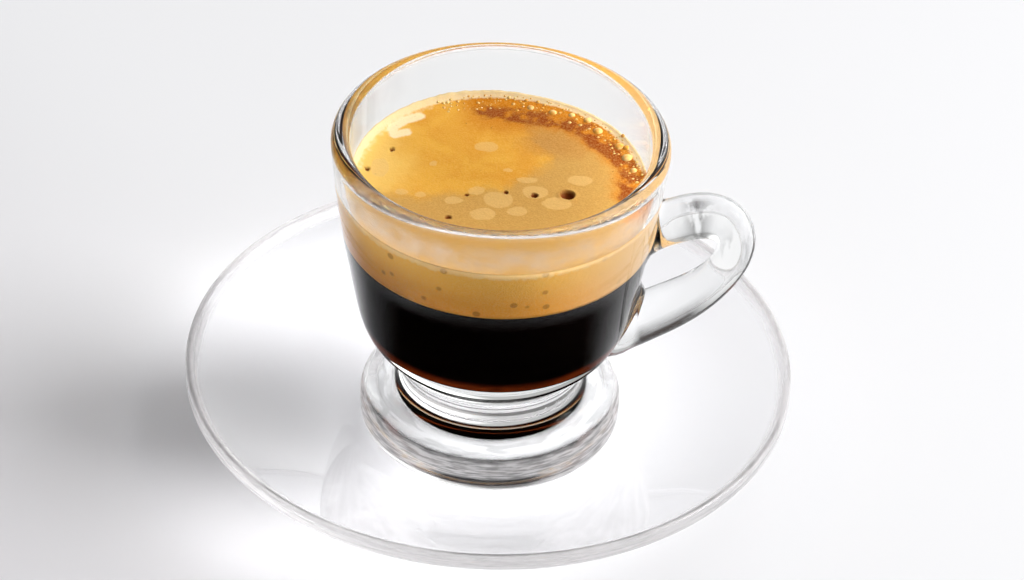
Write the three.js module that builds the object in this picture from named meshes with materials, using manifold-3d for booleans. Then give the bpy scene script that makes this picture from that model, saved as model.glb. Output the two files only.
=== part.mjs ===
// A double espresso in its thick glass cup, standing on a glass saucer.
// Millimetres, +Z up. The origin is the centre of the saucer's underside.
import * as THREE from 'three';
import { mergeVertices } from 'three/addons/utils/BufferGeometryUtils.js';
import Module from 'manifold-3d';

const wasm = await Module();
wasm.setup();

// Heights are above the table, and radii are from each piece's own axis.
const saucer = {
  radius: 57.5,
  restRadius: 25,
  wellRadius: 27,
  wellTop: 3.5,
  rimTop: 15.3,
  rimEdge: 1.4,
  rimRounding: 0.8,
  rimSlope: THREE.MathUtils.degToRad(28),
  sides: 64,
};

const cup = {
  centre: new THREE.Vector2(0.5, -2.2),
  footRadius: 24.7,
  footTop: 11.9,
  footTopRounding: 3,
  footBottomRounding: 2.9,
  neckRadius: 17.3,
  neckFillet: 4,
  lipRadius: 30.96,
  rimTop: 68.7,
  rimRounding: 1.75,
  // The bowl outside, from the neck to the lip, as radius and height.
  bowl: [[17.3, 17.5], [19.6, 21.9], [22.9, 25.2], [24.5, 27.8], [26.2, 34], [28.3, 46], [30.06, 58]],
  // The hollow, from the middle of its floor up.
  hollow: [[0, 25], [10.2, 25.4], [18.5, 28], [23.3, 35], [25.2, 46], [27.06, 58.5]],
  sides: 56,
};

const handle = {
  turn: THREE.MathUtils.degToRad(-4),
  // The middle of the bar from the upper root to the lower, as distance from the axis and height.
  bar: [
    [26.6, 51.6], [30, 52.1], [34.5, 53.9], [39.5, 54.7], [43.4, 52],
    [43.3, 45.1], [37.8, 37.4], [31, 31.8], [26, 28.8], [20.5, 28.1],
  ],
  barRadius: 4.3,
  bendRadius: 3.5,
  bendAt: 0.47,
  bendSpread: 0.16,
  halfWidth: 4.3,
  upperFlare: 1.7,
  lowerFlare: 0.5,
  flareLength: 0.14,
  rootCover: 1,
  steps: 30,
  sides: 16,
};

const drink = {
  espressoTop: 47.8,
  cremaTop: 58.3,
  gap: 0.3,
  swell: 0.2,
  sides: 48,
};

// Foam bubbles crowd the crema's edge between two bearings, and a few lie elsewhere.
const bubbles = {
  edgeFrom: THREE.MathUtils.degToRad(8),
  edgeTo: THREE.MathUtils.degToRad(118),
  edgeCount: 28,
  edgeInset: 1.6,
  edgeBand: 2.6,
  looseCount: 9,
  looseReach: 19,
  radius: [0.5, 1.0],
  proud: 0.45,
  sides: 7,
};

// Burst bubbles leave shallow pits, placed from the cup's axis.
const pits = [
  { x: 12.5, y: -3.2, radius: 1.35 },
  { x: 6.5, y: -3.9, radius: 0.75 },
  { x: -8.9, y: -11.8, radius: 0.6 },
];

function turned(outline, sides) {
  const geometry = new THREE.LatheGeometry(outline, sides);
  geometry.rotateX(Math.PI / 2);
  return geometry;
}

function solidOf(geometry) {
  const plain = geometry.clone();
  plain.deleteAttribute('normal');
  plain.deleteAttribute('uv');
  const merged = mergeVertices(plain, 1e-4);
  const corners = merged.index.array;
  const triangles = [];
  for (let i = 0; i < corners.length; i += 3) {
    const [a, b, c] = corners.slice(i, i + 3);
    if (a !== b && b !== c && c !== a) triangles.push(a, b, c);
  }
  return new wasm.Manifold(new wasm.Mesh({
    numProp: 3,
    vertProperties: new Float32Array(merged.attributes.position.array),
    triVerts: new Uint32Array(triangles),
  }));
}

function geometryOf(solid) {
  const { vertProperties, triVerts } = solid.getMesh();
  const geometry = new THREE.BufferGeometry();
  geometry.setAttribute('position', new THREE.BufferAttribute(vertProperties, 3));
  geometry.setIndex(new THREE.BufferAttribute(triVerts, 1));
  geometry.computeVertexNormals();
  return geometry;
}

// A shallow dish of even thickness: flat middle, sloping sides, softly squared rim.
function saucerOutline() {
  const { rimRounding: round, rimSlope: slope } = saucer;
  const edgeX = saucer.radius - round;
  const upperZ = saucer.rimTop - round;
  const lowerZ = upperZ - saucer.rimEdge;
  const under = new THREE.Vector2(edgeX + round * Math.sin(slope), lowerZ - round * Math.cos(slope));
  const over = new THREE.Vector2(edgeX - round * Math.sin(slope), upperZ + round * Math.cos(slope));
  const underBend = under.x - under.y / Math.tan(slope);
  const overBend = over.x - (over.y - saucer.wellTop) / Math.tan(slope);
  const outline = new THREE.Path();
  outline.moveTo(0, 0);
  outline.lineTo(saucer.restRadius, 0);
  outline.quadraticCurveTo(underBend, 0, under.x, under.y);
  outline.absarc(edgeX, lowerZ, round, slope - Math.PI / 2, 0, false);
  outline.absarc(edgeX, upperZ, round, 0, slope + Math.PI / 2, false);
  outline.quadraticCurveTo(overBend, saucer.wellTop, saucer.wellRadius, saucer.wellTop);
  outline.lineTo(0, saucer.wellTop);
  return outline.getPoints(3);
}

// The hollow's wall, from the middle of its floor up to the rounded lip.
function hollowCurve() {
  const lip = new THREE.Vector2(cup.lipRadius - 2 * cup.rimRounding, cup.rimTop - cup.rimRounding);
  return new THREE.SplineCurve([...cup.hollow.map((place) => new THREE.Vector2(...place)), lip]);
}

// Heavy foot disc, short neck, and a bowl that widens to a round lip.
function cupOutline() {
  const bottom = saucer.wellTop;
  const topEdge = cup.footRadius - cup.footTopRounding;
  const bottomEdge = cup.footRadius - cup.footBottomRounding;
  const filletX = cup.neckRadius + cup.neckFillet;
  const lipZ = cup.rimTop - cup.rimRounding;
  const lipX = cup.lipRadius - cup.rimRounding;
  const outline = new THREE.Path();
  outline.moveTo(0, bottom);
  outline.lineTo(bottomEdge, bottom);
  outline.absarc(bottomEdge, bottom + cup.footBottomRounding, cup.footBottomRounding, -Math.PI / 2, 0, false);
  outline.absarc(topEdge, cup.footTop - cup.footTopRounding, cup.footTopRounding, 0, Math.PI / 2, false);
  outline.lineTo(filletX, cup.footTop);
  outline.absarc(filletX, cup.footTop + cup.neckFillet, cup.neckFillet, -Math.PI / 2, -Math.PI, true);
  const bowl = cup.bowl.map((place) => new THREE.Vector2(...place));
  outline.splineThru([...bowl, new THREE.Vector2(cup.lipRadius, lipZ)]);
  const points = outline.getPoints(2);
  const lip = new THREE.Path().absarc(lipX, lipZ, cup.rimRounding, 0, Math.PI, false).getPoints(4);
  const hollow = hollowCurve().getPoints(13).reverse();
  return [...points, ...lip.slice(1), ...hollow.slice(1)];
}

// How thick the bar is at a share of its length: fuller at both roots, slimmer in the bend.
function barSize(share) {
  const upper = handle.upperFlare * Math.max(0, 1 - share / handle.flareLength) ** 2;
  const lower = handle.lowerFlare * Math.max(0, 1 - (1 - share) / (2 * handle.flareLength)) ** 2;
  const bend = Math.exp(-(((share - handle.bendAt) / handle.bendSpread) ** 2));
  return {
    depth: handle.barRadius + (handle.bendRadius - handle.barRadius) * bend + upper + lower,
    width: handle.halfWidth + upper + lower,
  };
}

// A swept bar whose section changes along the curve, closed by a fan at each end.
function barGeometry() {
  const middle = handle.bar.map(([reach, height]) => new THREE.Vector3(
    reach * Math.cos(handle.turn),
    reach * Math.sin(handle.turn),
    height,
  ));
  const curve = new THREE.CatmullRomCurve3(middle, false, 'centripetal');
  const frames = curve.computeFrenetFrames(handle.steps, false);
  const sideways = new THREE.Vector3(-Math.sin(handle.turn), Math.cos(handle.turn), 0);
  const positions = [];
  for (let i = 0; i <= handle.steps; i += 1) {
    const share = i / handle.steps;
    const centre = curve.getPointAt(share);
    const across = new THREE.Vector3().crossVectors(frames.tangents[i], sideways);
    const { depth, width } = barSize(share);
    for (let j = 0; j < handle.sides; j += 1) {
      const angle = (2 * Math.PI * j) / handle.sides;
      const point = centre.clone();
      point.addScaledVector(sideways, width * Math.cos(angle));
      point.addScaledVector(across, depth * Math.sin(angle));
      positions.push(point);
    }
  }
  const endCentres = [curve.getPointAt(0), curve.getPointAt(1)];
  const first = positions.length;
  const faces = [];
  for (let j = 0; j < handle.sides; j += 1) {
    const next = (j + 1) % handle.sides;
    for (let i = 0; i < handle.steps; i += 1) {
      const low = i * handle.sides;
      const high = low + handle.sides;
      faces.push(low + j, low + next, high + j);
      faces.push(low + next, high + next, high + j);
    }
    const last = handle.steps * handle.sides;
    faces.push(first, next, j);
    faces.push(first + 1, last + j, last + next);
  }
  const geometry = new THREE.BufferGeometry().setFromPoints([...positions, ...endCentres]);
  geometry.setIndex(faces);
  return geometry;
}

// The bar's roots end inside the bowl's wall, short of the hollow.
function cupGeometry() {
  const side = hollowSide(null, cup.rimTop - cup.rimRounding, 16, -handle.rootCover);
  const hollow = [...side, new THREE.Vector2(0, side.at(-1).y)];
  const body = solidOf(turned(cupOutline(), cup.sides));
  const bar = solidOf(barGeometry()).subtract(solidOf(turned(hollow, cup.sides)));
  return geometryOf(body.add(bar));
}

// The share of the hollow's curve at which it reaches a height.
function hollowShare(height) {
  const curve = hollowCurve();
  let low = 0;
  let high = 1;
  for (let i = 0; i < 30; i += 1) {
    const middle = (low + high) / 2;
    if (curve.getPoint(middle).y < height) low = middle;
    else high = middle;
  }
  return low;
}

// The hollow's side between two heights, moved in from the glass by an inset.
function hollowSide(from, to, steps, inset) {
  const curve = hollowCurve();
  const start = from === null ? 0 : hollowShare(from);
  const end = hollowShare(to);
  const side = [];
  for (let i = 0; i <= steps; i += 1) {
    const share = start + ((end - start) * i) / steps;
    const along = curve.getTangent(share);
    const point = curve.getPoint(share);
    side.push(new THREE.Vector2(point.x - inset * along.y, point.y + inset * along.x));
  }
  if (from === null) side[0].x = 0;
  return side;
}

function espressoGeometry() {
  const side = hollowSide(null, drink.espressoTop - drink.gap, 9, drink.gap);
  const top = new THREE.Vector2(0, side.at(-1).y);
  return turned([...side, top], drink.sides);
}

// The foam's top lies in slow swells.
function foamHeight(x, y) {
  const swell = Math.sin(x / 5.1 + 1.3) * Math.cos(y / 6.3) + 0.6 * Math.sin((x + 2 * y) / 8.7);
  return drink.swell * swell;
}

function cremaGeometry() {
  const side = hollowSide(drink.espressoTop, drink.cremaTop, 3, drink.gap);
  const edge = side.at(-1);
  const rings = [0.93, 0.78, 0.6, 0.4, 0.2, 0].map((share) => new THREE.Vector2(edge.x * share, edge.y));
  const geometry = turned([new THREE.Vector2(0, side[0].y), ...side, ...rings], drink.sides);
  const position = geometry.attributes.position;
  for (let i = 0; i < position.count; i += 1) {
    const x = position.getX(i);
    const y = position.getY(i);
    if (Math.abs(position.getZ(i) - edge.y) < 1e-3) {
      const fade = Math.min(1, (edge.x - Math.hypot(x, y)) / 2);
      position.setZ(i, edge.y + foamHeight(x, y) * fade);
    }
  }
  const edgeReach = edge.x - bubbles.edgeInset;
  const holes = pits.map((pit) => ball(pit.x, pit.y, pit.radius, 0));
  const domes = bubblePlaces(edgeReach).map(([x, y, radius]) => ball(x, y, radius, bubbles.proud - 1));
  const foam = solidOf(geometry).add(wasm.Manifold.union(domes));
  return geometryOf(foam.subtract(wasm.Manifold.union(holes)));
}

// A ball at the foam's surface, raised by a share of its radius.
function ball(x, y, radius, raise) {
  const geometry = new THREE.SphereGeometry(radius, bubbles.sides, bubbles.sides - 2);
  geometry.rotateX(Math.PI / 2);
  geometry.translate(x, y, drink.cremaTop + foamHeight(x, y) + radius * raise);
  return solidOf(geometry);
}

function bubblePlaces(edgeReach) {
  THREE.MathUtils.seededRandom(7);
  const draw = (low, high) => low + (high - low) * THREE.MathUtils.seededRandom();
  const places = [];
  const tryPlace = (bearing, reach, radius) => {
    const x = reach * Math.cos(bearing);
    const y = reach * Math.sin(bearing);
    const clear = places.every(([px, py, pr]) => Math.hypot(px - x, py - y) > pr + radius + 0.15);
    const offPits = pits.every((pit) => Math.hypot(pit.x - x, pit.y - y) > pit.radius + radius + 0.3);
    if (clear && offPits) places.push([x, y, radius]);
  };
  while (places.length < bubbles.edgeCount) {
    const reach = edgeReach - bubbles.edgeBand * draw(0, 1) ** 1.5;
    tryPlace(draw(bubbles.edgeFrom, bubbles.edgeTo), reach, draw(...bubbles.radius));
  }
  while (places.length < bubbles.edgeCount + bubbles.looseCount) {
    const reach = bubbles.looseReach * Math.sqrt(draw(0, 1));
    tryPlace(draw(0, 2 * Math.PI), reach, 0.7 * draw(...bubbles.radius));
  }
  return places;
}

function piece(name, geometry, material) {
  const mesh = new THREE.Mesh(geometry, material);
  mesh.name = name;
  return mesh;
}

const clearGlass = new THREE.MeshStandardMaterial({
  color: 0xe6eceb,
  roughness: 0.03,
  metalness: 0,
  transparent: true,
  opacity: 0.3,
});
const darkCoffee = new THREE.MeshStandardMaterial({ color: 0x190b05, roughness: 0.12, metalness: 0 });
const goldenFoam = new THREE.MeshStandardMaterial({ color: 0xcc9647, roughness: 0.6, metalness: 0 });

const servedCup = new THREE.Group();
servedCup.position.set(cup.centre.x, cup.centre.y, 0);
servedCup.add(piece('cup', cupGeometry(), clearGlass));
servedCup.add(piece('espresso', espressoGeometry(), darkCoffee));
servedCup.add(piece('crema', cremaGeometry(), goldenFoam));

const doubleEspresso = new THREE.Group();
doubleEspresso.add(piece('saucer', turned(saucerOutline(), saucer.sides), clearGlass));
doubleEspresso.add(servedCup);

export default doubleEspresso;
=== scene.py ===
import math
import random

import bmesh
import bpy
import numpy as np
from mathutils import Matrix, Vector, noise


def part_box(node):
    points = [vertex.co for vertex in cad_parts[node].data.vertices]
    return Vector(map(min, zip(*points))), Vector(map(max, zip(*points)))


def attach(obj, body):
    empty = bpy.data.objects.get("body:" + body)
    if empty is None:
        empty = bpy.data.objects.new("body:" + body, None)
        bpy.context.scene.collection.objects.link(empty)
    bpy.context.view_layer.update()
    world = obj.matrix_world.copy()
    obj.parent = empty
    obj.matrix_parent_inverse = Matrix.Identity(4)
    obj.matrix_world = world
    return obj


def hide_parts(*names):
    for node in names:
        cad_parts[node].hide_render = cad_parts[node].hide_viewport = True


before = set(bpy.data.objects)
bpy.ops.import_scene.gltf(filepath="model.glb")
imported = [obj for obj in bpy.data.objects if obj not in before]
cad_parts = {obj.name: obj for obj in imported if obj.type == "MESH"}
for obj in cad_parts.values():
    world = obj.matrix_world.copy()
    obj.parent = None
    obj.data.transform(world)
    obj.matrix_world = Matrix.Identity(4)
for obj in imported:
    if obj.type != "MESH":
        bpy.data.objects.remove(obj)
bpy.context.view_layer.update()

mm = 0.001  # pieces are shaped in millimetres and scaled to metres when finished


def span(node):
    low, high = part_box(node)
    return low / mm, high / mm


saucerHigh = span("saucer")[1]
cupLow, cupHigh = span("cup")
espressoLow, espressoHigh = span("espresso")
cupAxis = (espressoLow + espressoHigh) / 2
cupAxis.z = 0


# Curves and outlines, as (distance from the axis, height)

def cubicThrough(places, values, wanted):
    gaps = np.diff(places)
    last = len(places) - 1
    system = np.eye(last + 1)
    change = np.zeros_like(values)
    for i in range(1, last):
        system[i, i - 1:i + 2] = gaps[i - 1], 2 * (gaps[i - 1] + gaps[i]), gaps[i]
        rise = (values[i + 1] - values[i]) / gaps[i]
        change[i] = 6 * (rise - (values[i] - values[i - 1]) / gaps[i - 1])
    curl = np.linalg.solve(system, change)
    i = np.clip(np.searchsorted(places, wanted) - 1, 0, last - 1)
    after = ((wanted - places[i]) / gaps[i])[:, None]
    before = 1 - after
    bow = (before ** 3 - before) * curl[i] + (after ** 3 - after) * curl[i + 1]
    return before * values[i] + after * values[i + 1] + bow * gaps[i][:, None] ** 2 / 6


def lengths(points):
    steps = np.linalg.norm(np.diff(points[:, :2], axis=0), axis=1)
    return np.concatenate([[0], np.cumsum(steps)])


def smoothPath(points, fineness=600):
    points = np.array(points, float)
    along = lengths(points)
    return cubicThrough(along, points, np.linspace(0, along[-1], fineness))


def placesOn(path, distances):
    along = lengths(path)
    return np.stack([np.interp(distances, along, column) for column in path.T], 1)


def evenly(path, steps):
    return placesOn(path, np.linspace(0, lengths(path)[-1], steps + 1))


def radiusAt(path, heights):
    return np.interp(heights, path[:, 1], path[:, 0])


def arc(centre, radius, start, end, steps):
    turns = np.radians(np.linspace(start, end, steps + 1))
    return [(centre[0] + radius * math.cos(a), centre[1] + radius * math.sin(a)) for a in turns]


def bend(start, corner, end, steps):
    shares = np.linspace(0, 1, steps + 1)[:, None]
    start, corner, end = (np.array(p, float) for p in (start, corner, end))
    curve = (1 - shares) ** 2 * start + 2 * shares * (1 - shares) * corner + shares ** 2 * end
    return [tuple(p) for p in curve]


def cageFor(wanted, rounds=40):  # control points whose subdivided surface meets the wanted points
    wanted = np.array(wanted, float)
    cage = wanted.copy()
    for _ in range(rounds):
        before = np.concatenate([[2 * cage[0] - cage[1]], cage[:-1]])
        after = np.concatenate([cage[1:], [2 * cage[-1] - cage[-2]]])
        cage += wanted - (before + 4 * cage + after) / 6
    return cage


def ringGrowth(sides):  # how much wider a ring of control points is made, because subdividing shrinks it
    return 1 / (2 / 3 + math.cos(2 * math.pi / sides) / 3)


# Mesh tools

def spun(outline, columns, turn=0.0):
    bm = bmesh.new()
    verts = [bm.verts.new((r, 0, z)) for r, z in outline]
    for low, high in zip(verts, verts[1:]):
        bm.edges.new((low, high))
    bmesh.ops.rotate(bm, verts=verts, cent=(0, 0, 0), matrix=Matrix.Rotation(turn, 3, "Z"))
    bmesh.ops.spin(bm, geom=bm.verts[:] + bm.edges[:], cent=(0, 0, 0), axis=(0, 0, 1), dvec=(0, 0, 0),
                   angle=2 * math.pi, steps=columns, use_merge=True, use_duplicate=False)
    bmesh.ops.remove_doubles(bm, verts=bm.verts, dist=1e-5)
    bmesh.ops.recalc_face_normals(bm, faces=bm.faces)
    return bm


def placed(bm, name, at=Vector((0, 0, 0)), smooth=True):
    bmesh.ops.translate(bm, verts=bm.verts, vec=at)
    bmesh.ops.scale(bm, verts=bm.verts, vec=(mm, mm, mm))
    for face in bm.faces:
        face.smooth = smooth
    mesh = bpy.data.meshes.new(name)
    bm.to_mesh(mesh)
    bm.free()
    piece = bpy.data.objects.new(name, mesh)
    bpy.context.scene.collection.objects.link(piece)
    return piece


def painted(mesh, masks):
    for name, mask in masks.items():
        layer = mesh.attributes.new(name, "FLOAT", "POINT")
        layer.data.foreach_set("value", mask.astype(np.float32))


def subdivided(piece, level):
    finer = piece.modifiers.new("finer", "SUBSURF")
    finer.levels = level
    finer.render_levels = level


def shown(piece, material, slot, *nodes):
    piece.data.materials.append(material)
    if nodes:
        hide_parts(*nodes)
    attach(piece, "root")


# Materials

def colour(red, green, blue):  # screen values from 0 to 255
    parts = [v / 255 for v in (red, green, blue)]
    return tuple(v / 12.92 if v < 0.04045 else ((v + 0.055) / 1.055) ** 2.4 for v in parts) + (1.0,)


class Nodes:
    # builds one material's nodes, with links made as values are given
    def __init__(self, name):
        self.material = bpy.data.materials.new(name)
        self.material.use_nodes = True
        self.tree = self.material.node_tree
        self.tree.nodes.clear()
        self.place = self.add("ShaderNodeTexCoord").outputs["Object"]

    def add(self, kind, inputs=None, **settings):
        node = self.tree.nodes.new(kind)
        for key, value in settings.items():
            setattr(node, key, value)
        for key, value in (inputs or {}).items():
            self.give(node.inputs[key], value)
        return node

    def give(self, socket, value):
        if isinstance(value, bpy.types.NodeSocket):
            self.tree.links.new(value, socket)
        else:
            socket.default_value = value

    def noise(self, scale, detail=3.0, roughness=0.5, distortion=0.0):
        return self.add("ShaderNodeTexNoise", {"Vector": self.place, "Scale": scale, "Detail": detail,
                        "Roughness": roughness, "Distortion": distortion}).outputs["Fac"]

    def streaks(self, scale, stretch):
        drawn = self.add("ShaderNodeVectorMath", {0: self.place, 1: stretch}, operation="MULTIPLY")
        return self.add("ShaderNodeTexNoise", {"Vector": drawn.outputs[0], "Scale": scale,
                        "Detail": 3.0}).outputs["Fac"]

    def ramp(self, value, low, high, start=0.0, end=1.0):
        return self.add("ShaderNodeMapRange", {"Value": value, "From Min": low, "From Max": high,
                        "To Min": start, "To Max": end}, interpolation_type="SMOOTHSTEP").outputs[0]

    def fade(self, value, ends, start=0.0, end=1.0):  # a ramp between two places in millimetres
        return self.ramp(value, ends[0] * mm, ends[1] * mm, start, end)

    def sums(self, operation, first, second):
        return self.add("ShaderNodeMath", {0: first, 1: second}, operation=operation).outputs[0]

    def product(self, *factors):
        result = factors[0]
        for factor in factors[1:]:
            result = self.sums("MULTIPLY", result, factor)
        return result

    def mix(self, share, first, second):
        node = self.add("ShaderNodeMix", data_type="RGBA")
        for socket, value in ((node.inputs[0], share), (node.inputs[6], first), (node.inputs[7], second)):
            self.give(socket, value)
        return node.outputs[2]

    def attribute(self, name):
        return self.add("ShaderNodeAttribute", attribute_name=name).outputs["Fac"]

    def bump(self, height, distance, strength=1.0):
        return self.add("ShaderNodeBump", {"Height": height, "Distance": distance,
                        "Strength": strength}).outputs["Normal"]

    def finish(self, shader):
        out = self.add("ShaderNodeOutputMaterial")
        self.tree.links.new(shader, out.inputs["Surface"])
        return self.material


clearGlass = {
    "cupTint": colour(251, 252, 251),
    "cupGlare": (0.0, 0.0, 0.0, 1),
    "saucerTint": colour(248, 248, 249),
    "saucerGlare": (0.7, 0.7, 0.72, 1),
    "ior": 1.5,
    "waviness": 0.000012,
    "paintedRefraction": colour(24, 17, 14),          # painted dark refractions in the thick parts
    "paleSheetColour": colour(246, 244, 245),  # painted light: a pale lit sheet stands in for the soft light caught in the foot's side and the saucer's rim
}

# Marks in the cup's glass, by where each fades in or out, in millimetres
cupMarks = {
    "sideReach": (20.5, 23.5),   # the foot's side, with painted light caught in the glass
    "sideTop": (10.6, 11.7),
    "bandLow": (4.8, 5.6),       # a painted dark refraction: a band round that side, strongest in front
    "bandHigh": (7.2, 8.2),
    "bandAcross": (7, 16),
    "filmLow": (59.2, 61.2),     # a pale film above the foam on the front wall
    "filmHigh": (64, 66),
    "filmFront": (-18, -10),
    "calmLow": (20, 24),         # in front of the coffee, where the glass mirrors nothing pale
    "calmHigh": (45, 49),
    "calmAcross": (16, 25),
    "calmFront": (-12, -4),
}


def reachFrom(n, x, y, axis):
    flat = n.add("ShaderNodeCombineXYZ", {0: x, 1: y}).outputs[0]
    return n.add("ShaderNodeVectorMath", {0: flat, 1: axis}, operation="DISTANCE").outputs["Value"]


def glassMaterial(n, tint, glare, paleSheet, calm=0.0):
    # a pale lit sheet mixed into the glass where the mask asks for it; on the foot's side and the saucer's
    # rim it is painted light caught in the glass
    paleSheetShader = n.add("ShaderNodeMixShader", {
        0: 0.5,
        1: n.add("ShaderNodeBsdfDiffuse", {"Color": clearGlass["paleSheetColour"]}).outputs[0],
        2: n.add("ShaderNodeBsdfTranslucent", {"Color": clearGlass["paleSheetColour"]}).outputs[0],
    })
    glass = n.add("ShaderNodeBsdfPrincipled", {
        "Base Color": tint,
        "Roughness": n.ramp(n.noise(400, 3), 0.35, 0.7, 0.0, 0.02),
        "IOR": clearGlass["ior"],
        "Transmission Weight": 1.0,
        "Specular Tint": glare,
        "Normal": n.bump(n.noise(90, 2), clearGlass["waviness"]),
    })
    plain = n.add("ShaderNodeBsdfRefraction", {"Color": tint, "Roughness": 0.0, "IOR": clearGlass["ior"]})
    glass = n.add("ShaderNodeMixShader", {0: calm, 1: glass.outputs[0], 2: plain.outputs[0]})
    withPaleSheet = n.add("ShaderNodeMixShader", {0: paleSheet, 1: glass.outputs[0], 2: paleSheetShader.outputs[0]})
    lamps = n.add("ShaderNodeLightPath").outputs["Is Shadow Ray"]
    through = n.add("ShaderNodeBsdfTransparent")
    mixed = n.add("ShaderNodeMixShader", {0: lamps, 1: withPaleSheet.outputs[0], 2: through.outputs[0]})
    return n.finish(mixed.outputs[0])


def cupMaterial():
    n = Nodes("cupGlass")
    m = cupMarks
    x, y, z = n.add("ShaderNodeSeparateXYZ", {0: n.place}).outputs
    reach = reachFrom(n, x, y, cupAxis * mm)
    fromMiddle = n.sums("ABSOLUTE", n.sums("SUBTRACT", x, cupAxis.x * mm), 0.0)
    side = n.product(n.fade(reach, m["sideReach"]), n.fade(z, m["sideTop"], 1, 0))
    band = n.product(n.fade(z, m["bandLow"]), n.fade(z, m["bandHigh"], 1, 0),
                     n.fade(fromMiddle, m["bandAcross"], 0.9, 0.0))
    # painted light: a pale sheet on the foot's side stands in for light caught in the glass
    paleSheet = n.product(side, n.sums("SUBTRACT", 1.0, band),
                     n.ramp(n.streaks(900, (0.3, 0.3, 3)), 0.35, 0.65, 0.4, 0.85))
    film = n.product(n.fade(z, m["filmLow"]), n.fade(z, m["filmHigh"], 1, 0),
                     n.fade(y, m["filmFront"], 1, 0), n.ramp(n.noise(260, 4), 0.35, 0.65, 0.05, 0.2))
    calm = n.product(n.fade(z, m["calmLow"]), n.fade(z, m["calmHigh"], 1, 0),
                     n.fade(fromMiddle, m["calmAcross"], 1, 0), n.fade(y, m["calmFront"], 1, 0))
    # painted dark refractions: streaks on the handle, rings round the rim and the foot's top, shade under
    # the lower limb, and the band round the foot's side
    upright = n.ramp(n.streaks(420, (1.0, 1.0, 0.2)), 0.4, 0.55)
    swirl = n.add("ShaderNodeCombineXYZ", {0: reach, 1: n.product(x, 0.2), 2: n.product(y, 0.2)})
    swirl = n.add("ShaderNodeTexNoise", {"Vector": swirl.outputs[0], "Scale": 620.0, "Detail": 2.0,
                  "Distortion": 0.6}).outputs["Fac"]
    paintedRefraction = n.sums("ADD", n.product(n.attribute("paintedStreaks"), upright),
                   n.product(n.attribute("rings"), n.ramp(swirl, 0.45, 0.6)))
    paintedRefraction = n.sums("MAXIMUM", paintedRefraction, n.attribute("shade"))
    paintedRefraction = n.sums("MAXIMUM", paintedRefraction, n.product(band, side))
    tint = n.mix(paintedRefraction, clearGlass["cupTint"], clearGlass["paintedRefraction"])
    return glassMaterial(n, tint, clearGlass["cupGlare"], n.sums("MAXIMUM", paleSheet, film), calm)


def saucerMaterial():
    n = Nodes("saucerGlass")
    x, y, z = n.add("ShaderNodeSeparateXYZ", {0: n.place}).outputs
    reach = reachFrom(n, x, y, (0, 0, 0))
    # painted light: a pale sheet round the rim stands in for light caught in the rounded glass
    paleSheet = n.fade(reach, (saucerHigh.x - 2.4, saucerHigh.x - 0.8), 0.0, 0.7)
    paleSheet = n.product(paleSheet, n.ramp(n.streaks(260, (0.3, 0.3, 4)), 0.3, 0.6, 0.45, 1.0))
    return glassMaterial(n, clearGlass["saucerTint"], clearGlass["saucerGlare"], paleSheet)


# Saucer: a shallow dish with a softly squared rim

saucerShape = {
    "radius": saucerHigh.x,
    "restRadius": 25,
    "wellRadius": 27,
    "wellTop": cupLow.z,
    "rimTop": saucerHigh.z,
    "rimEdge": 1.4,
    "rimRounding": 0.8,
    "rimSlope": 28,
    "underRings": (0, 8, 16, 22),
    "wellRings": (24, 16, 8, 0),
    "columns": 288,
}


def saucerOutline():
    s = saucerShape
    slope = math.radians(s["rimSlope"])
    rounding = s["rimRounding"]
    edge = s["radius"] - rounding
    upper = s["rimTop"] - rounding
    lower = upper - s["rimEdge"]
    under = (edge + rounding * math.sin(slope), lower - rounding * math.cos(slope))
    over = (edge - rounding * math.sin(slope), upper + rounding * math.cos(slope))
    underBend = under[0] - under[1] / math.tan(slope)
    overBend = over[0] - (over[1] - s["wellTop"]) / math.tan(slope)
    outline = [(r, 0) for r in s["underRings"]]
    outline += bend((s["restRadius"], 0), (underBend, 0), under, 30)
    outline += arc((edge, lower), rounding, s["rimSlope"] - 90, 0, 7)[1:]
    outline += arc((edge, upper), rounding, 0, s["rimSlope"] + 90, 9)
    outline += bend(over, (overBend, s["wellTop"]), (s["wellRadius"], s["wellTop"]), 30)[1:]
    outline += [(r, s["wellTop"]) for r in s["wellRings"]]
    return outline


saucer = placed(spun(saucerOutline(), saucerShape["columns"]), "glass_saucer")
shown(saucer, saucerMaterial(), "clear_glass", "saucer")
print("saucer made")


# Cup: heavy foot disc, short neck, bowl with a round lip, and a handle that flows out of the wall

cupShape = {
    "base": cupLow.z + 0.06,       # a hair above the saucer
    "punt": 0.7,                   # hollow under the foot
    "puntRadius": 18,
    "puntPower": 1.3,
    "puntRings": (0, 3, 6, 9, 11.5, 13.5, 15.2, 16.7, 18, 19.2, 20.2, 21.1),
    "footRadius": 24.7,
    "footTop": 11.9,
    "footTopRounding": 3.0,
    "footTopRing": 21.5,
    "footSideRings": (7.2, 8.0),
    "footBottomRounding": 2.9,
    "neckRadius": 17.3,
    "neckFillet": 4.0,
    "wall": [(17.3, 15.9), (17.4, 17.5), (19.6, 21.9), (22.9, 25.2), (24.5, 27.8),
             (26.2, 34), (28.3, 46), (30.06, 58), (30.96, 66.95)],
    "wallHeights": [16.6, 17.4, 18.5, 19.7, 22, 24.5, 27.4, 30.6, 34, 37.6, 40.4, 42.8, 44.9, 46.8,
                    48.5, 50.3, 52, 53.7, 55.5, 57.2, 59.6, 61.8, 63.6, 65, 66.1],
    "rimTop": cupHigh.z,
    "rimRounding": 1.75,
    "hollow": [(27.46, 66.95), (27.06, 58.5), (25.2, 46), (23.3, 35), (18.5, 28), (10.2, 25.4), (0, 25)],
    "hollowRows": 30,
    "hollowClose": (0.8, 1.9, 3.4),  # the closely spaced rows just inside the lip
    "columns": 80,
}

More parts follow.
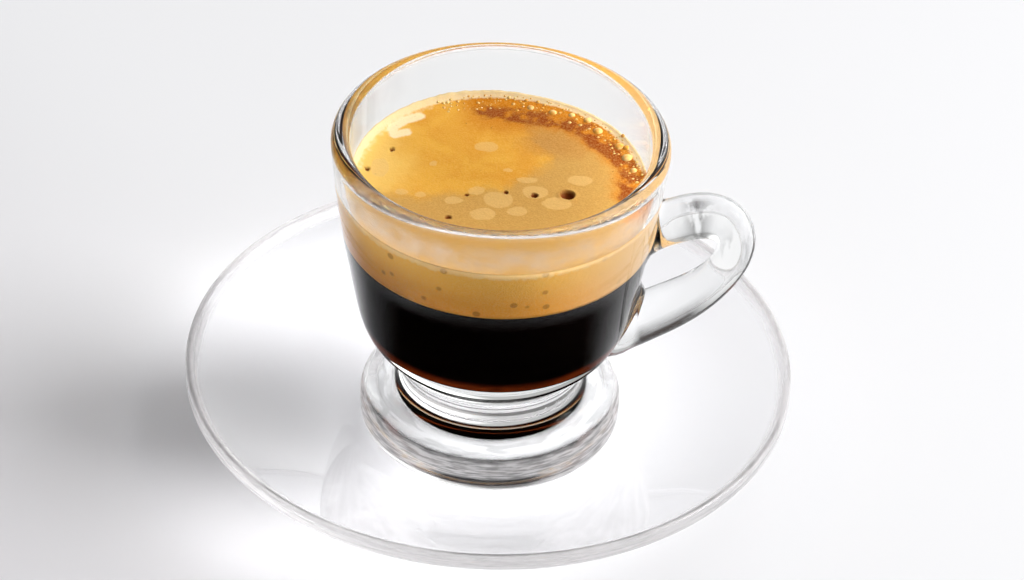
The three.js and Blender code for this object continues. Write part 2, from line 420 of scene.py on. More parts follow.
handleShape = {
    "turn": math.radians(-4),
    # distance from the cup's axis, height, and the bar's radius, from the upper root to the lower one
    "bar": [(29.2, 51.9, 4.3), (31.4, 52.6, 4.25), (35, 54.1, 4.3), (39, 54.8, 4.25), (42.4, 53.4, 4.0),
            (44, 49.8, 3.6), (43.3, 45.1, 3.4), (40.7, 40.6, 3.6), (36.8, 36.5, 4.1), (32.4, 33.1, 4.5),
            (28.4, 30.4, 4.7), (24.8, 28.0, 4.9)],
    "reach": [1.0, 2.1, 3.6, 5.6],  # the closely spaced rings at both roots
    "midRings": 13,
    "flare": 0.6,
    "flareLength": 3.4,
    "ringSides": 20,
    "upperRoot": (46.8, 57.2),
    "lowerRoot": (19.7, 37.6),
    "rootColumns": 2,               # to each side
    "upperSpread": (5.5, 6.0),
    "lowerSpread": (5.3, 9.1),
    "leanLength": 7,                # over which the rings come to lie along the wall at the lower root
    "wallLean": math.radians(26),
    "wallBetween": (14, 66),        # the heights between which the handle can join the wall
    "wallDepth": 1.2,               # faces less deep than this belong to the wall's outside
}

hollowPath = smoothPath(cupShape["hollow"][::-1])
wallPath = smoothPath(cupShape["wall"])


def cupOutline():
    s = cupShape
    bottom = s["footRadius"] - s["footBottomRounding"]
    top = s["footRadius"] - s["footTopRounding"]
    fillet = s["neckRadius"] + s["neckFillet"]
    lip = cupShape["wall"][-1][0] - s["rimRounding"]
    rows = []
    for r in s["puntRings"]:
        rows.append((r, s["base"] + s["punt"] * max(0, 1 - (r / s["puntRadius"]) ** 2) ** s["puntPower"]))
    rows += arc((bottom, s["base"] + s["footBottomRounding"]), s["footBottomRounding"], -90, 0, 6)
    rows += [(s["footRadius"], z) for z in s["footSideRings"]]
    rows += arc((top, s["footTop"] - s["footTopRounding"]), s["footTopRounding"], 0, 90, 4)
    rows += [(s["footTopRing"], s["footTop"])]
    rows += arc((fillet, s["footTop"] + s["neckFillet"]), s["neckFillet"], 270, 180, 7)
    rows += list(zip(radiusAt(wallPath, s["wallHeights"]), s["wallHeights"]))
    rows += arc((lip, s["rimTop"] - s["rimRounding"]), s["rimRounding"], 0, 180, 8)
    total = lengths(hollowPath)[-1]
    inward = total - np.array(s["hollowClose"])
    steps = np.linspace(inward[-1] - 2.2, 0, s["hollowRows"])
    rows += [tuple(p) for p in placesOn(hollowPath, np.concatenate([inward, steps]))]
    return rows


def rootLoop(bm, cage, heights, spread):
    # clears a patch of the wall's faces and rounds the edge of the opening
    turn = handleShape["turn"]
    half = handleShape["rootColumns"] * 2 * math.pi / cupShape["columns"]
    lowest, highest = handleShape["wallBetween"]
    wall = cage[(cage[:, 1] > lowest) & (cage[:, 1] < highest)]
    wall = wall[:np.argmax(wall[:, 1]) + 1]
    middle = sum(heights) / 2

    def across(place):
        return math.remainder(math.atan2(place.y, place.x) - turn, 2 * math.pi)

    patch = []
    for face in bm.faces:
        place = face.calc_center_median()
        wallReach = np.interp(place.z, wall[:, 1], wall[:, 0])
        outside = math.hypot(place.x, place.y) > wallReach - handleShape["wallDepth"]
        if outside and abs(across(place)) < half and heights[0] < place.z < heights[1]:
            patch.append(face)
    inner = set(patch)
    ends = {v for face in patch for edge in face.edges for v in edge.verts
            if sum(f in inner for f in edge.link_faces) == 1}
    bmesh.ops.delete(bm, geom=patch, context="FACES")
    loop = sorted((v for v in ends), key=lambda v: math.atan2(
        (v.co.z - middle) / (heights[1] - middle), across(v.co) / half) % (2 * math.pi - 1e-4))
    for i, vert in enumerate(loop):
        angle = 2 * math.pi * i / len(loop)
        z = middle + spread[1] * math.sin(angle)
        r = np.interp(z, wall[:, 1], wall[:, 0])
        swing = turn + spread[0] * math.cos(angle) / r
        vert.co = (r * math.cos(swing), r * math.sin(swing), z)
    return loop


def barRings():
    s = handleShape
    path = smoothPath(s["bar"])
    total = lengths(path)[-1]
    near = np.array(s["reach"])
    middle = np.linspace(near[-1], total - near[-1], s["midRings"] + 2)[1:-1]
    places = np.concatenate([near, middle, (total - near)[::-1]])
    centres = placesOn(path, places)
    ahead = placesOn(path, places + 0.05)
    side = Vector((-math.sin(s["turn"]), math.cos(s["turn"]), 0))
    lean = math.sin(s["wallLean"])
    downWall = Vector((-lean * math.cos(s["turn"]), -lean * math.sin(s["turn"]), -math.cos(s["wallLean"])))
    rings = []
    for place, (reach, height, radius), (nextReach, nextHeight, _) in zip(places, centres, ahead):
        centre = Vector((reach * math.cos(s["turn"]), reach * math.sin(s["turn"]), height))
        along = Vector((nextReach - reach, nextHeight - height)).normalized()
        out = Vector((-along.y * math.cos(s["turn"]), -along.y * math.sin(s["turn"]), along.x))
        toRoot = min(place, total - place)
        upper = place < total / 2
        size = radius + s["flare"] * max(0, 1 - toRoot / s["flareLength"]) ** 2 * upper
        size = float(size) * ringGrowth(s["ringSides"])
        tilted = out.lerp(downWall, 0 if upper else max(0, 1 - toRoot / s["leanLength"])).normalized()
        tilted *= size / tilted.dot(out)
        ring = []
        for i in range(s["ringSides"]):
            angle = 2 * math.pi * i / s["ringSides"]
            ring.append(centre + size * math.cos(angle) * side + math.sin(angle) * tilted)
        rings.append(ring)
    return rings


# Painted dark refractions: on the handle, round the rim and on the foot's top
paintedRefractionShape = {
    "limb": (36.8, 2.2),             # the upper limb's painted dark streak: reach and width
    "bend": (44.5, 3.0, 50, 4.0),    # the bend's painted dark streak: reach and width, height and depth
    "bendShare": 0.8,
    "under": (0.41, -0.81, -0.42),   # the way that the lower limb's painted shade faces
    "underFrom": 0.72,
    "underFull": 0.84,
    "underEnd": 42,                  # the reach where that shade has faded out
    "rimBearing": 185,
    "rimSpread": 32,
    "rimShare": 0.6,
    "footShare": 0.35,
}


def paintedRefractionMasks(mesh):
    s = paintedRefractionShape
    # painted dark refractions as masks: streaks on the handle, shade under the lower limb, rings round the
    # rim and on the foot's top
    masks = {name: np.zeros(len(mesh.vertices)) for name in ("paintedStreaks", "rings", "shade")}
    under = Vector(s["under"]).normalized()
    limbAt, limbWidth = s["limb"]
    bendAt, bendWidth, bendHeight, bendDepth = s["bend"]
    for i, vert in enumerate(mesh.vertices):
        place = vert.co / mm - cupAxis
        reach = math.hypot(place.x, place.y)
        bearing = math.degrees(math.atan2(place.y, place.x))
        if reach > 33 and place.z > 45:
            limb = math.exp(-((reach - limbAt) / limbWidth) ** 2)
            atBend = -((reach - bendAt) / bendWidth) ** 2 - ((place.z - bendHeight) / bendDepth) ** 2
            masks["paintedStreaks"][i] = max(limb, s["bendShare"] * math.exp(atBend)) * (vert.normal.y < -0.2)
        if reach > 24 and 24 < place.z < 43:
            low = max(0, vert.normal.dot(under) - s["underFrom"]) / (s["underFull"] - s["underFrom"])
            masks["shade"][i] = min(1, low) * min(1, max(0, (s["underEnd"] - reach) / 5)) * (reach > 28)
        if place.z > 60 and reach < 32:
            atRim = -((bearing % 360 - s["rimBearing"]) / s["rimSpread"]) ** 2
            masks["rings"][i] = s["rimShare"] * math.exp(atRim)
        if 10.5 < place.z < 14 and 17 < reach < 24.6:
            masks["rings"][i] = s["footShare"]
    painted(mesh, masks)


def makeCup():
    s = cupShape
    cage = cageFor(cupOutline())
    cage[:, 0] *= ringGrowth(s["columns"])
    cage[0, 0] = cage[-1, 0] = 0
    bm = spun(cage, s["columns"], handleShape["turn"])
    upper = rootLoop(bm, cage, handleShape["upperRoot"], handleShape["upperSpread"])
    lower = rootLoop(bm, cage, handleShape["lowerRoot"], handleShape["lowerSpread"])
    arriving = [lower[-i] for i in range(len(lower))]  # the bar arrives upside down
    wanted = [[v.co for v in upper]] + barRings() + [[v.co for v in arriving]]
    rings = cageFor([[tuple(p) for p in ring] for ring in wanted])[1:-1]
    loop = upper
    for ring in rings:
        edges = [bm.edges.get((a, b)) for a, b in zip(loop, loop[1:] + loop[:1])]
        made = bmesh.ops.extrude_edge_only(bm, edges=edges)["geom"]
        fresh = {v for v in made if isinstance(v, bmesh.types.BMVert)}
        loop = [next(e.other_vert(v) for e in v.link_edges if e.other_vert(v) in fresh) for v in loop]
        for vert, place in zip(loop, ring):
            vert.co = place
    ends = [bm.edges.get((a, b)) for a, b in zip(loop, loop[1:] + loop[:1])]
    ends += [bm.edges.get((a, b)) for a, b in zip(lower, lower[1:] + lower[:1])]
    bmesh.ops.bridge_loops(bm, edges=ends)
    bmesh.ops.remove_doubles(bm, verts=bm.verts, dist=1e-5)
    bmesh.ops.recalc_face_normals(bm, faces=bm.faces)
    print("cup's open edges:", sum(len(e.link_faces) != 2 for e in bm.edges))
    piece = placed(bm, "glass_cup", cupAxis)
    paintedRefractionMasks(piece.data)
    subdivided(piece, 1)
    return piece


cup = makeCup()
shown(cup, cupMaterial(), "clear_glass", "cup")
print("cup made")


# Espresso: fills the hollow up to the foam, and reaches just into the glass

drinkShape = {
    "intoWall": 0.08,
    "espressoTop": 47.8,
    "cremaTop": 58.3,
    "columns": 160,
    "coffeeColour": colour(9, 5, 4),
    "glowColour": colour(118, 46, 15),   # light shines red-brown through the lowest edge
    "glowLow": (26.2, 27),
    "glowHigh": (27.6, 29.8),
}


def widened(path, by):
    along = np.gradient(path, axis=0)
    along /= np.linalg.norm(along, axis=1)[:, None]
    return path + by * np.stack([along[:, 1], -along[:, 0]], 1)


drinkPath = widened(hollowPath, drinkShape["intoWall"])
drinkPath[0, 0] = 0


def coffeeMaterial():
    n = Nodes("darkCoffee")
    height = n.add("ShaderNodeSeparateXYZ", {0: n.place}).outputs["Z"]
    s = drinkShape
    glow = n.product(n.fade(height, s["glowLow"]), n.fade(height, s["glowHigh"], 1.0, 0.0),
                     n.ramp(n.noise(150), 0.3, 0.6, 0.6, 1.0))
    base = n.mix(glow, s["coffeeColour"], s["glowColour"])
    shader = n.add("ShaderNodeBsdfPrincipled", {
        "Base Color": base,
        "Roughness": 0.25,
        "Specular IOR Level": 0.0,
    })
    return n.finish(shader.outputs[0])


def makeEspresso():
    top = drinkShape["espressoTop"]
    side = drinkPath[drinkPath[:, 1] < top]
    outline = [tuple(p) for p in evenly(side, 40)] + [(r, side[-1, 1]) for r in (18, 9, 0)]
    return placed(spun(outline, drinkShape["columns"]), "dark_espresso", cupAxis)


espresso = makeEspresso()
shown(espresso, coffeeMaterial(), "dark_coffee", "espresso")
print("espresso made")


# Crema: a deep foam layer, with its colours painted as attributes of its mesh

cremaShape = {
    "columns": 300,
    "rings": 108,
    "sideRows": 18,
    "overlap": 0.06,
    "swell": 0.16,
    "climb": 1.4,       # how far the froth climbs the wall
    "climbWidth": 0.9,
    "climbShares": (0.45, 0.45, 0.25),  # of that: all round, more towards the back, and ragged froth
    "climbBack": (70, 110),             # bearings, as the next two
    "raggedFrom": (-12, 30),
    "raggedTo": (150, 185),
    "pits": [(12.5, -3.2, 1.35), (6.5, -3.9, 0.7), (1.3, -3.4, 0.45), (-20.1, 8.4, 0.5), (-24.3, 1.9, 0.5),
             (-8.9, -11.8, 0.6), (-5.8, -4.6, 0.4)],
    "pitDepth": 0.8,    # of its radius
    "lipRise": 0.12,
    "edgeBand": 1.5,    # over which the lifted top widens to keep to the wall
}

# Colour patches of the foam, as (x, y) in millimetres from the cup's axis
foamPaint = {
    "streak": [(-3.5, 22.2), (-1.2, 21.8), (3.2, 21.2), (6.9, 20.9), (9.4, 19.8), (11.6, 19.1),
               (14.5, 18.0), (16.3, 16.6), (18.2, 13.5), (20.5, 10.9), (21.6, 9.1), (23.5, 6.1),
               (24.2, 3.0), (23.6, -2.3)],
    "streakWidth": 2.3,
    "hook": [(-15.6, 18.9), (-18.2, 17.2), (-20.4, 14.8), (-19.9, 12.9), (-17.8, 13.7)],
    "hookWidth": 1.25,
    # soft pale ovals, as (x, y, half width, half depth)
    "blobs": [(-2.8, 10.5, 2.1, 1.7), (-4.1, -3.2, 1.7, 1.3), (0.0, -5.7, 2.8, 2.5),
              (-2.6, -10.3, 2.5, 2.0), (6.6, -2.9, 2.4, 1.9), (10.7, -5.9, 2.8, 1.9),
              (-8.1, -6.4, 1.6, 1.2), (-14.4, -5.0, 1.1, 0.9), (-12.4, 4.6, 0.8, 0.7),
              (1.3, 3.4, 0.9, 0.6), (5.0, 0.6, 2.0, 1.0), (14.6, 1.5, 2.4, 1.6),
              (-17.6, -4.6, 1.2, 1.0), (3.6, -8.8, 1.8, 1.4), (-22.0, 2.5, 1.7, 3.0)],
    # the beige foam's edge, first across the middle and then up to the back
    "beigeAcross": [(-22, -5.0), (-15, -5.7), (0.5, -2.0), (10, 6.5)],
    "beigeUp": [(6.5, 10), (17, 3.5)],
    "wobble": 4.0,                       # size of the wavering of every edge
    # amber: along the edge on the handle's side, round the streak, and in a patch at the back
    "amberFrom": (-30, -5),              # bearings
    "amberTo": (96, 118),
    "amberReach": (20.5, 23.5),
    "amberHalo": (0.85, 3.6),            # share, width
    "amberPatch": (0.75, 1, 20.5, 9.0, 7.0),  # share, x, y, half width, half depth
    "tanPatch": (10.5, 12.5, 7.5, 5.0),  # x, y, half width, half depth
    "creamReach": (9, 25),
    # froth: along the edge, and a fainter rim at the back
    "frothFrom": (-2, 25),
    "frothTo": (165, 195),
    "frothReach": (25.4, 26.7),
    "backFroth": (0.4, 100, 125),        # share, bearings
    "backFrothReach": (24.2, 26.0),
}


def nearPath(x, y, points):
    best = np.full_like(x, 1e9)
    for (ax, ay), (bx, by) in zip(points, points[1:]):
        dx, dy = bx - ax, by - ay
        share = np.clip(((x - ax) * dx + (y - ay) * dy) / (dx * dx + dy * dy), 0, 1)
        best = np.minimum(best, np.hypot(x - ax - share * dx, y - ay - share * dy))
    return best


def eased(value, low, high):
    share = np.clip((value - low) / (high - low), 0, 1)
    return share * share * (3 - 2 * share)


def cloudy(x, y, size, shift):
    return np.array([noise.fractal(Vector((a / size + shift, b / size - shift, shift)), 0.7, 2.1, 3)
                     for a, b in zip(x, y)])


def foamHeight(x, y):
    # slow swells, and froth that climbs the wall at the back
    s = cremaShape
    r = np.hypot(x, y)
    bearing = np.degrees(np.arctan2(y, x))
    edge = radiusAt(drinkPath, [drinkShape["cremaTop"]])[0]
    swell = np.sin(x / 5.1 + 1.3) * np.cos(y / 6.3) + 0.6 * np.sin((x + 2 * y) / 8.7)
    back = eased(bearing, *s["raggedFrom"]) * (1 - eased(bearing, *s["raggedTo"]))
    ragged = 0.65 + 0.5 * cloudy(x, y, 1.6, 3.0)
    allRound, towardsBack, froth = s["climbShares"]
    high = allRound + towardsBack * eased(bearing, *s["climbBack"]) + froth * back * ragged
    climb = np.exp(-(edge - r) / s["climbWidth"]) * high
    return s["swell"] * swell * np.clip((edge - r) / 3, 0, 1) + s["climb"] * climb


def cremaMasks(x, y, top):
    p = foamPaint
    r = np.hypot(x, y)
    bearing = np.degrees(np.arctan2(y, x))
    wobbleX = x + cloudy(x, y, p["wobble"], 7.0)
    wobbleY = y + cloudy(x, y, p["wobble"], 17.0)
    streakGap = nearPath(wobbleX, wobbleY, p["streak"])
    patchy = np.clip(0.8 + 0.9 * cloudy(x, y, 2.2, 5.0), 0.25, 1)
    streak = np.exp(-(streakGap / p["streakWidth"]) ** 2) * patchy
    right = eased(bearing, *p["amberFrom"]) * (1 - eased(bearing, *p["amberTo"]))
    amber = right * eased(r, *p["amberReach"])
    share, width = p["amberHalo"]
    amber = np.maximum(amber, share * np.exp(-(streakGap / width) ** 2))
    share, px, py, wide, deep = p["amberPatch"]
    amber = np.maximum(amber, share * np.exp(-((wobbleX - px) / wide) ** 2 - ((wobbleY - py) / deep) ** 2))
    across, up = (np.array(p[name], float).T for name in ("beigeAcross", "beigeUp"))
    beige = 1 - eased(wobbleY - np.interp(wobbleX, *across), -3.4, 3.4)
    beige = np.maximum(beige, eased(wobbleX - np.interp(wobbleY, *up), -1.2, 1.8))
    px, py, wide, deep = p["tanPatch"]
    tan = np.exp(-(((wobbleX - px) / wide) ** 2 + ((wobbleY - py) / deep) ** 2) ** 1.5)
    cream = eased(-wobbleX - 0.25 * np.abs(wobbleY - 4), *p["creamReach"])
    hook = np.exp(-(nearPath(x, y, p["hook"]) / p["hookWidth"]) ** 2)
    blob = np.zeros_like(x)
    for px, py, wide, deep in p["blobs"]:
        gap = np.hypot((0.6 * x + 0.4 * wobbleX - px) / wide, (0.6 * y + 0.4 * wobbleY - py) / deep)
        blob = np.maximum(blob, 1 - eased(gap, 0.75, 1.15))
    froth = eased(bearing, *p["frothFrom"]) * (1 - eased(bearing, *p["frothTo"]))
    froth *= eased(r, *p["frothReach"])
    share, start, full = p["backFroth"]
    froth = np.maximum(froth, share * eased(bearing, start, full) * eased(r, *p["backFrothReach"]))
    masks = {"streak": streak, "amber": amber, "tan": tan, "beige": beige, "cream": cream, "hook": hook,
             "blob": blob, "froth": froth}
    return {name: np.where(top, mask, 0.0) for name, mask in masks.items()}


def makeCrema():
    s = cremaShape
    bottom = drinkShape["espressoTop"] - s["overlap"]
    top = drinkShape["cremaTop"]
    heights = np.linspace(bottom, top, s["sideRows"] + 1)
    side = list(zip(radiusAt(drinkPath, heights), heights))
    edge = side[-1][0]
    outline = [(0, bottom), (edge / 2, bottom)] + side
    outline += [(edge * (1 - i / s["rings"]), top) for i in range(1, s["rings"] + 1)]
    piece = placed(spun(outline, s["columns"]), "golden_crema", cupAxis)
    mesh = piece.data
    count = len(mesh.vertices)
    co = np.zeros(count * 3, np.float32)
    mesh.vertices.foreach_get("co", co)
    co = co.reshape(-1, 3)
    x, y, z = ((co - np.array(cupAxis) * mm) / mm).T.astype(float)
    onTop = z > top - 1e-3
    lift = np.where(onTop, foamHeight(x, y), 0.0)
    pit = np.zeros(count)
    for px, py, radius in s["pits"]:
        gap = np.hypot(x - px, y - py) / radius
        bowl = np.sqrt(np.clip(1 - gap ** 2, 0, 1))
        lip = s["lipRise"] * np.exp(-((gap - 1.15) / 0.25) ** 2) * min(1, radius)
        lift += np.where(onTop, lip - s["pitDepth"] * radius * bowl, 0)
        pit = np.maximum(pit, np.where(onTop, eased(1.25 - gap, 0, 0.45), 0))
    reach = np.hypot(x, y)
    band = s["edgeBand"]
    widening = (radiusAt(drinkPath, z + lift) / edge - 1) * (reach - edge + band) / band
    scale = np.where(onTop & (reach > edge - band), 1 + widening, 1)
    co[:, 0] = (cupAxis.x + x * scale) * mm
    co[:, 1] = (cupAxis.y + y * scale) * mm
    co[:, 2] = (z + lift) * mm
    mesh.vertices.foreach_set("co", co.ravel())
    masks = cremaMasks(x, y, onTop)
    masks["pit"] = pit
    masks["depth"] = np.clip((top - z) / (top - bottom), 0, 1)
    painted(mesh, masks)
    mesh.update()
    return piece


# Each colour patch: its share, where it starts and is full, its unevenness, and its colour
foamLayers = [
    ("cream", 0.85, 0.05, 1.0, 0.3, colour(246, 202, 108)),
    ("beige", 0.9, 0.05, 1.0, 0.6, colour(196, 148, 78)),
    ("tan", 0.65, 0.05, 1.0, 0.5, colour(190, 128, 60)),
    ("amber", 0.95, 0.1, 0.85, 0.4, colour(202, 118, 4)),
    ("blob", 0.5, 0.25, 0.75, 0.15, colour(232, 188, 118)),
    ("streak", 0.95, 0.12, 0.75, 0.12, colour(138, 50, 0)),
    ("hook", 0.9, 0.3, 0.7, 0.5, colour(254, 234, 190)),
    ("froth", 0.85, 0.2, 0.7, 0.9, colour(246, 224, 178)),
]


foamTones = {
    "deepGold": colour(220, 150, 44),
    "gold": colour(232, 170, 62),
    "grain": colour(250, 204, 118),
    "freckle": colour(120, 50, 8),
    "pit": colour(120, 56, 14),
    "sideTop": colour(255, 194, 86),
    "sideBottom": colour(255, 170, 54),
    "sideGrain": colour(255, 216, 140),
    "sideBubble": colour(176, 110, 40),
    "sideLine": colour(255, 232, 184),
    "sideRight": colour(204, 170, 122),
    "sideRightFrom": (8, 25),   # where the side pales towards the handle, in millimetres
}


def cremaMaterial():
    n = Nodes("goldenCrema")
    t = foamTones
    large = n.noise(110, 3, 0.55, 0.6)
    small = n.noise(900, 4, 0.6)
    fine = n.noise(3200, 3, 0.6)
    grains = n.ramp(fine, 0.35, 0.68)

    def strength(name, low, high, uneven):
        varied = n.sums("ADD", n.attribute(name), n.product(n.sums("SUBTRACT", small, 0.5), uneven))
        return n.ramp(varied, low, high)

    def dots(scale, size, kept):
        cells = n.add("ShaderNodeTexVoronoi", {"Vector": n.place, "Scale": scale})
        chosen = n.add("ShaderNodeSeparateColor", {0: cells.outputs["Color"]}).outputs[0]
        chosen = n.sums("LESS_THAN", chosen, kept)
        return n.product(n.ramp(cells.outputs["Distance"], size * 0.6, size, 1.0, 0.0), chosen)

    base = n.mix(n.ramp(large, 0.3, 0.7), t["deepGold"], t["gold"])
    for name, share, low, high, uneven, tone in foamLayers:
        base = n.mix(n.product(strength(name, low, high, uneven), share), base, tone)
    base = n.mix(n.product(grains, 0.2), base, t["grain"])
    freckles = n.product(dots(620, 0.13, 0.3), n.ramp(n.attribute("amber"), 0.05, 0.5, 0.25, 1.0))
    base = n.mix(n.product(freckles, 0.7), base, t["freckle"])
    base = n.mix(n.attribute("pit"), base, t["pit"])
    depth = n.attribute("depth")
    side = n.mix(n.ramp(depth, 0.0, 1.0), t["sideTop"], t["sideBottom"])
    side = n.mix(n.product(grains, 0.25), side, t["sideGrain"])
    side = n.mix(n.product(dots(330, 0.27, 0.35), 0.6), side, t["sideBubble"])
    line = n.sums("ADD", depth, n.product(n.sums("SUBTRACT", small, 0.5), 0.16))
    side = n.mix(n.ramp(line, 0.04, 0.09, 0.45, 0.0), side, t["sideLine"])
    right = n.add("ShaderNodeSeparateXYZ", {0: n.place}).outputs["X"]
    side = n.mix(n.fade(right, t["sideRightFrom"], 0.0, 0.9), side, t["sideRight"])
    base = n.mix(n.ramp(depth, 0.0, 0.02), base, side)
    height = n.sums("ADD", n.product(small, 0.6), n.product(fine, 0.4))
    shader = n.add("ShaderNodeBsdfPrincipled", {
        "Base Color": base,
        "Roughness": n.ramp(small, 0.3, 0.7, 0.32, 0.5),
        "Specular IOR Level": 0.03,
        "Subsurface Weight": 0.12,
        "Subsurface Radius": (1.0, 0.5, 0.2),
        "Subsurface Scale": 0.0012,
        "Normal": n.bump(height, 0.00025, 0.5),
    })
    return n.finish(shader.outputs[0])


crema = makeCrema()
shown(crema, cremaMaterial(), "golden_foam", "crema")
print("crema made")


# Bubbles in the froth along the crema's edge

bubbleShape = {
    # the largest domes, as (x, y, radius)
    "domes": [(5.1, 24.0, 0.85), (9.3, 22.6, 1.0), (15.9, 20.3, 1.0), (17.8, 17.2, 1.25), (21.9, 12.8, 1.2),
              (23.2, 12.2, 0.8), (23.4, 9.4, 1.4), (22.6, 15.2, 0.5), (12.9, 21.8, 0.8), (24.6, 5.4, 0.9)],
    "crowd": 150,
    "crowdFrom": -2,
    "crowdTo": 118,
    "crowdRadius": (0.18, 0.6),
    "band": 3.4,
    "sunk": 0.5,
    "deep": colour(226, 156, 50),
    "pale": colour(246, 206, 128),
    # painted shade: the domes turn to this colour at their edges, where they face away from the view
    "rim": colour(190, 112, 30),
}


def bubbleMaterial():
    n = Nodes("frothBubbles")
    # painted shade: each dome darkens towards its edges, where it turns away from the view
    facing = n.add("ShaderNodeLayerWeight", {"Blend": 0.35}).outputs["Facing"]
    varied = n.ramp(n.noise(500, 2), 0.35, 0.65)
    middle = n.mix(varied, bubbleShape["deep"], bubbleShape["pale"])
    shader = n.add("ShaderNodeBsdfPrincipled", {
        "Base Color": n.mix(n.ramp(facing, 0.3, 0.95), middle, bubbleShape["rim"]),
        "Roughness": 0.1,
        "Subsurface Weight": 0.2,
        "Subsurface Radius": (1.0, 0.5, 0.2),
        "Subsurface Scale": 0.001,
        "Coat Weight": 0.4,
        "Normal": n.bump(n.noise(1500, 2), 0.00005),
    })
    return n.finish(shader.outputs[0])


def makeBubbles():
    s = bubbleShape
    draw = random.Random(5)
    smallest, largest = s["crowdRadius"]
    edge = radiusAt(drinkPath, [drinkShape["cremaTop"]])[0] - 0.3
    places = [(x, y, radius, 2) for x, y, radius in s["domes"]]
    tries = 0
    while len(places) < len(s["domes"]) + s["crowd"] and tries < 6000:
        tries += 1
        bearing = math.radians(draw.uniform(s["crowdFrom"], s["crowdTo"]))
        radius = draw.uniform(0, 1) ** 2 * (largest - smallest) + smallest
        reach = edge - radius - s["band"] * draw.random() ** 2
        x, y = reach * math.cos(bearing), reach * math.sin(bearing)
        if all(math.hypot(x - px, y - py) > 0.85 * (radius + pr) for px, py, pr, _ in places):
            places.append((x, y, radius, 1))
    xs, ys = np.array([p[0] for p in places]), np.array([p[1] for p in places])
    ground = drinkShape["cremaTop"] + foamHeight(xs, ys)
    bm = bmesh.new()
    for (x, y, radius, fineness), z in zip(places, ground):
        spot = Matrix.Translation((x, y, z - s["sunk"] * radius)) @ Matrix.Diagonal((1, 1, 0.9, 1))
        bmesh.ops.create_icosphere(bm, subdivisions=fineness, radius=radius, matrix=spot)
    return placed(bm, "froth_bubbles", cupAxis)


bubbles = makeBubbles()
shown(bubbles, bubbleMaterial(), "golden_foam")
print("bubbles made")


# Stage: a pale table, a broad lamp from the handle's side, and soft light all round

stageLook = {
    "tableSize": 6.0,
    "tableColour": colour(241, 241, 243),
    "patchColour": colour(239, 239, 241),
    "paintedShadeColour": colour(222, 220, 223),  # painted shade: darker towards the near left, away from the lamp
    "paintedShadeWay": (-0.75, -0.66, 0),
    "paintedShadeFrom": (-20, 120),               # along that way, in millimetres
    "lampAt": (1.53, 0.03, 1.12),
    "lampSize": 1.0,
    "lampPower": 34.5,
    "room": 0.125,       # how bright the room is on the camera's side
    "far": 0.43,         # how much brighter it is away from the camera and towards the lamp
    "farWay": (0.7, 1, 0.6),
    "window": 1.5,       # a bright window beyond the cup, on the handle's side
    "windowWay": (0.51, 0.79, 0.34),
    "glassBounces": 24,
    "glossyBounces": 20,
}


def tableMaterial():
    n = Nodes("paleTable")
    s = stageLook
    tone = n.mix(n.ramp(n.noise(3, 2), 0.3, 0.7), s["tableColour"], s["patchColour"])
    # painted shade: the table darkens towards the near left, away from the lamp
    lean = n.add("ShaderNodeVectorMath", {0: n.place, 1: s["paintedShadeWay"]}, operation="DOT_PRODUCT")
    tone = n.mix(n.fade(lean.outputs["Value"], s["paintedShadeFrom"]), tone, s["paintedShadeColour"])
    shader = n.add("ShaderNodeBsdfPrincipled", {"Base Color": tone, "Roughness": 0.7,
                   "Specular IOR Level": 0.2})
    return n.finish(shader.outputs[0])


def makeTable():
    bm = bmesh.new()
    bmesh.ops.create_grid(bm, x_segments=2, y_segments=2, size=stageLook["tableSize"] / 2 / mm)
    table = placed(bm, "table", Vector((0, 0, -0.1)), smooth=False)
    table.data.materials.append(tableMaterial())


def makeLamp():
    lamp = bpy.data.lights.new("windowLight", "AREA")
    lamp.shape = "DISK"
    lamp.size = stageLook["lampSize"]
    lamp.energy = stageLook["lampPower"]
    holder = bpy.data.objects.new("windowLight", lamp)
    holder.location = stageLook["lampAt"]
    holder.rotation_euler = Vector(stageLook["lampAt"]).to_track_quat("Z", "Y").to_euler()
    holder.visible_transmission = False  # its light already passes straight through the glass
    bpy.context.scene.collection.objects.link(holder)


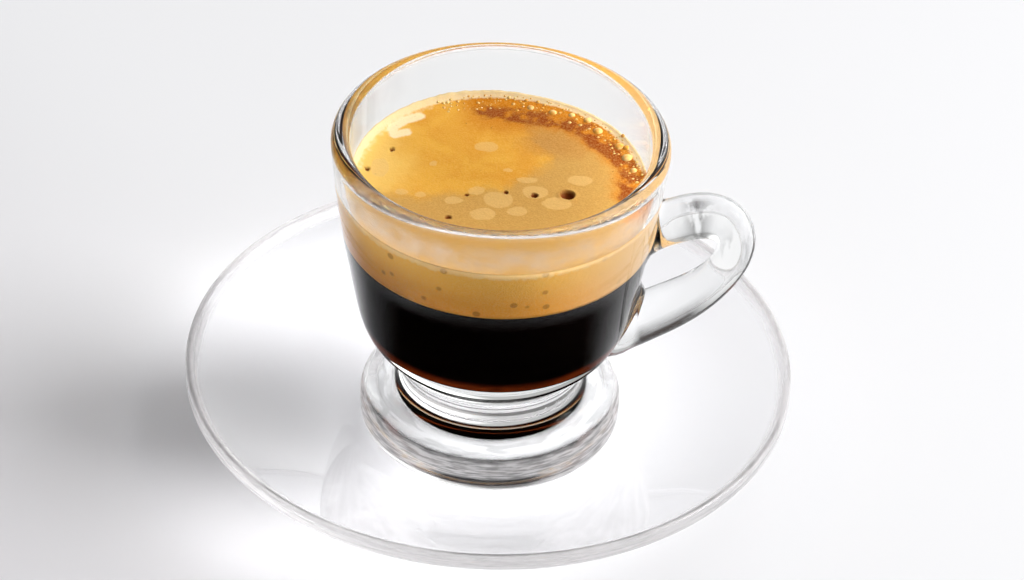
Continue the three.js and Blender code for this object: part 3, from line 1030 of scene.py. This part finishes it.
def makeRoom():
    room = bpy.data.worlds.new("softRoom")
    room.use_nodes = True
    tree = room.node_tree
    way = tree.nodes.new("ShaderNodeTexCoord").outputs["Generated"]

    def glow(towards, start, end, brightness):
        lean = tree.nodes.new("ShaderNodeVectorMath")
        lean.operation = "DOT_PRODUCT"
        tree.links.new(way, lean.inputs[0])
        lean.inputs[1].default_value = Vector(towards).normalized()
        rise = tree.nodes.new("ShaderNodeMapRange")
        rise.interpolation_type = "SMOOTHSTEP"
        tree.links.new(lean.outputs["Value"], rise.inputs["Value"])
        for name, value in (("From Min", start), ("From Max", end), ("To Min", 0), ("To Max", brightness)):
            rise.inputs[name].default_value = value
        return rise.outputs[0]

    def plus(first, second):
        node = tree.nodes.new("ShaderNodeMath")
        tree.links.new(first, node.inputs[0])
        if isinstance(second, bpy.types.NodeSocket):
            tree.links.new(second, node.inputs[1])
        else:
            node.inputs[1].default_value = second
        return node.outputs[0]

    far = glow(stageLook["farWay"], -0.5, 0.8, stageLook["far"])
    window = glow(stageLook["windowWay"], 0.82, 0.97, stageLook["window"])
    background = tree.nodes["Background"]
    tree.links.new(plus(plus(far, window), stageLook["room"]), background.inputs["Strength"])
    background.inputs["Color"].default_value = (1, 1, 1, 1)
    bpy.context.scene.world = room


def setLightPaths():
    # thick glass turns black at its edges when light paths are short
    paths = bpy.context.scene.cycles
    paths.max_bounces = stageLook["glassBounces"]
    paths.transmission_bounces = stageLook["glassBounces"]
    paths.glossy_bounces = stageLook["glossyBounces"]
    bpy.context.scene.view_settings.view_transform = "Standard"


cameraView = {
    "lens": 138.853,
    "sensor": 36,
    "down": 0.6611,     # radians below level
    "roll": 0.049,
    "distance": 0.757887,
    "right": 0.003267,
    "up": 0.026288,
}


def makeCamera():
    v = cameraView
    forward = Vector((0, math.cos(v["down"]), -math.sin(v["down"])))
    upward = Vector((0, math.sin(v["down"]), math.cos(v["down"])))
    data = bpy.data.cameras.new("camera")
    data.lens = v["lens"]
    data.sensor_width = v["sensor"]
    camera = bpy.data.objects.new("camera", data)
    camera.location = cupAxis * mm - forward * v["distance"] + Vector((v["right"], 0, 0)) + upward * v["up"]
    turn = Matrix.Rotation(math.pi / 2 - v["down"], 3, "X") @ Matrix.Rotation(v["roll"], 3, "Z")
    camera.rotation_euler = turn.to_euler()
    bpy.context.scene.collection.objects.link(camera)
    bpy.context.scene.camera = camera


makeTable()
makeLamp()
makeRoom()
setLightPaths()
makeCamera()
print("stage, lamp and camera made")
